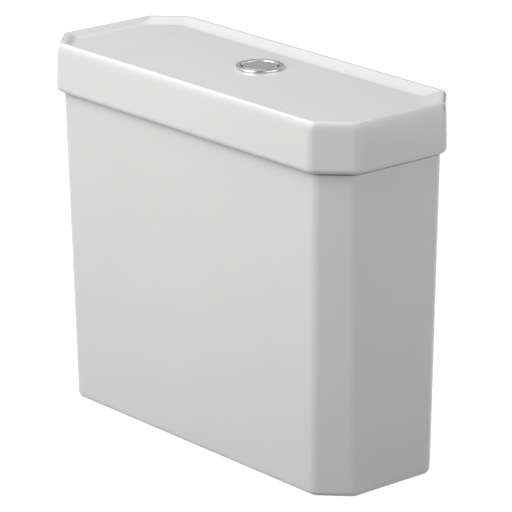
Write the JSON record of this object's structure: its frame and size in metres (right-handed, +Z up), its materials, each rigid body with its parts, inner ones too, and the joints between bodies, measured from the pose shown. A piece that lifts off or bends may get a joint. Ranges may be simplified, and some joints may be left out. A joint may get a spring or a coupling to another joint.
{
  "type": "toilet cistern",
  "caption": "Close-coupled glazed china cistern with chamfered corners, a lift-off dished lid, a chrome push button, a flush valve and a bottom-entry fill valve.",
  "frame": {"origin": "on the pan deck, the plane of the tank's underside, below the middle of the lid", "axes": "+X to the right seen from the front, +Y back to the wall, +Z up"},
  "size_m": [0.42, 0.166, 0.3915],
  "materials": {
    "glazed_china": "glossy white glaze",
    "polished_chrome": "polished chrome plate",
    "satin_chrome": "satin chrome plate",
    "black_rubber": "moulded, matt",
    "seal_rubber": "moulded silicone, satin",
    "white_plastic": "moulded, semi-gloss",
    "blue_plastic": "moulded, semi-gloss",
    "green_plastic": "moulded, matt",
    "plated_steel": "zinc plated",
    "brass": "turned"
  },
  "bodies": {
    "cistern": {"tank": "glazed_china", "lid_pads": "black_rubber", "valve_base": "white_plastic", "base_washer": "black_rubber", "back_nut_washer": "white_plastic", "outlet_back_nut": "white_plastic", "coupling_gasket": "black_rubber", "valve_tower": "white_plastic", "rocker_pin": "plated_steel", "inlet_shank": "white_plastic", "shank_washer": "black_rubber", "inlet_nut_washer": "white_plastic", "inlet_back_nut": "white_plastic", "inlet_strainer": "green_plastic", "fill_riser": "white_plastic", "riser_collar": "blue_plastic", "silencer_sleeve": "white_plastic", "fill_head": "white_plastic", "diaphragm": "black_rubber", "head_cap": "blue_plastic", "arm_pin": "plated_steel", "blanking_plug": "white_plastic", "plug_washer": "black_rubber", "plug_nut_washer": "white_plastic", "plug_nut": "white_plastic", "coupling_bolts": "plated_steel", "bolt_cones": "black_rubber", "bolt_head_washers": "plated_steel", "bolt_under_washers": "black_rubber", "bolt_nuts": "plated_steel"},
    "lid": {"lid": "glazed_china", "button_bezel": "polished_chrome", "bezel_washer": "black_rubber", "bezel_nut": "white_plastic", "button_spring": "plated_steel"},
    "button": {"flush_button": "satin_chrome", "push_rod": "white_plastic", "rod_lock_nut": "white_plastic"},
    "rocker": {"rocker": "blue_plastic"},
    "lift_valve": {"lift_tube": "white_plastic", "lift_collar": "blue_plastic", "hold_up_float": "blue_plastic", "flush_seal": "seal_rubber", "seal_retainer": "white_plastic"},
    "float": {"float_cup": "blue_plastic", "float_link": "plated_steel", "link_clip": "brass"},
    "fill_arm": {"fill_arm": "blue_plastic"}
  },
  "joints": [
    {"name": "lid_lift", "type": "slide", "parent": "cistern", "child": "lid", "axis": [0, 0, 1], "range_m": [0, 0.15]},
    {"name": "button_press", "type": "slide", "parent": "lid", "child": "button", "axis": [0, 0, -1], "range_m": [0, 0.0065], "stiffness_N_per_m": 200, "springref_m": -0.012, "deforming": ["button_spring"]},
    {"name": "rocker_tilt", "type": "hinge", "parent": "cistern", "child": "rocker", "pos_m": [0, 0.002, 0.215], "axis": [-1, 0, 0], "range_deg": [0, 28.7]},
    {"name": "valve_lift", "type": "slide", "parent": "cistern", "child": "lift_valve", "axis": [0, 0, 1], "range_m": [0, 0.00901]},
    {"name": "float_rise", "type": "slide", "parent": "cistern", "child": "float", "axis": [0, 0, 1], "range_m": [0, 0.014]},
    {"name": "arm_tilt", "type": "hinge", "parent": "cistern", "child": "fill_arm", "pos_m": [0.136, 0, 0.261], "axis": [0, 1, 0], "range_deg": [0, 25.1]}
  ],
  "couplings": [
    {"joint": "rocker_tilt", "follows": "button_press", "rad_per_m": 76.923},
    {"joint": "valve_lift", "follows": "button_press", "ratio": 1.3846},
    {"joint": "arm_tilt", "follows": "float_rise", "rad_per_m": 31.25}
  ]
}
